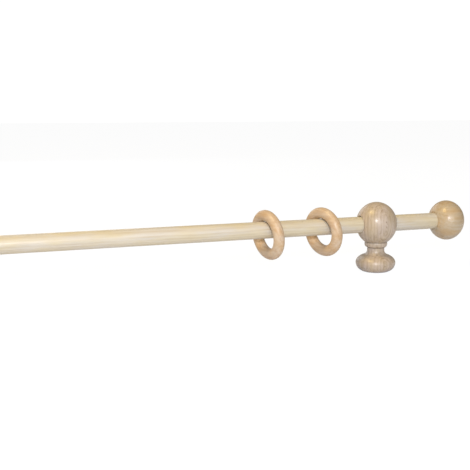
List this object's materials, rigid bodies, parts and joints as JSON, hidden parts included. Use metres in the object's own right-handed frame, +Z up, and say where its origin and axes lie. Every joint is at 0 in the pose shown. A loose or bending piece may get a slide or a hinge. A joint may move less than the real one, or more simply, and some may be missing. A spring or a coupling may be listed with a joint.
{
  "type": "curtain rod with brackets",
  "caption": "Plain wooden curtain rod on two turned ball brackets, with ball finials on its ends and wooden rings hanging on the pole.",
  "frame": {"origin": "on the surface under the feet, midway along the pole", "axes": "+X along the pole, +Z up from the feet to the pole, +Y to the back, where the set screws are"},
  "size_m": [1.0514, 0.0588, 0.0862],
  "materials": {
    "pole_wood": "smooth sanded pale softwood",
    "bracket_wood": "satin turned hardwood, upright grain",
    "finial_wood": "satin turned hardwood, grain along the pole",
    "ring_wood": "smooth turned beech",
    "insert_brass": "turned",
    "screw_steel": "zinc plated"
  },
  "bodies": {
    "wall_brackets": {"bracket_left": "bracket_wood", "bracket_right": "bracket_wood", "fixing_insert_left": "insert_brass", "fixing_insert_right": "insert_brass"},
    "pole": {"pole": "pole_wood"},
    "set_screw_left": {"set_screw_left": "screw_steel"},
    "finial_left": {"finial_left": "finial_wood"},
    "ring_left_outer": {"ring_left_outer": "ring_wood"},
    "ring_left_inner": {"ring_left_inner": "ring_wood"},
    "set_screw_right": {"set_screw_right": "screw_steel"},
    "finial_right": {"finial_right": "finial_wood"},
    "ring_right_outer": {"ring_right_outer": "ring_wood"},
    "ring_right_inner": {"ring_right_inner": "ring_wood"}
  },
  "joints": [
    {"name": "pole_slide", "type": "slide", "parent": "wall_brackets", "child": "pole", "axis": [1, 0, 0], "range_m": [-0.055, 0.055]},
    {"name": "set_screw_left_turn", "type": "hinge", "parent": "wall_brackets", "child": "set_screw_left", "pos_m": [-0.404, 0.01, 0.059], "axis": [0, 1, 0], "range_deg": [0, 720]},
    {"name": "finial_left_pull", "type": "slide", "parent": "pole", "child": "finial_left", "axis": [-1, 0, 0], "range_m": [0, 0.03]},
    {"name": "ring_left_outer_slide", "type": "slide", "parent": "wall_brackets", "child": "ring_left_outer", "axis": [-1, 0, 0], "range_m": [-0.02, 0.03]},
    {"name": "ring_left_inner_slide", "type": "slide", "parent": "wall_brackets", "child": "ring_left_inner", "axis": [-1, 0, 0], "range_m": [-0.24, 0.022]},
    {"name": "set_screw_right_turn", "type": "hinge", "parent": "wall_brackets", "child": "set_screw_right", "pos_m": [0.404, 0.01, 0.059], "axis": [0, 1, 0], "range_deg": [0, 720]},
    {"name": "finial_right_pull", "type": "slide", "parent": "pole", "child": "finial_right", "axis": [1, 0, 0], "range_m": [0, 0.03]},
    {"name": "ring_right_outer_slide", "type": "slide", "parent": "wall_brackets", "child": "ring_right_outer", "axis": [1, 0, 0], "range_m": [-0.02, 0.03]},
    {"name": "ring_right_inner_slide", "type": "slide", "parent": "wall_brackets", "child": "ring_right_inner", "axis": [1, 0, 0], "range_m": [-0.24, 0.022]}
  ]
}
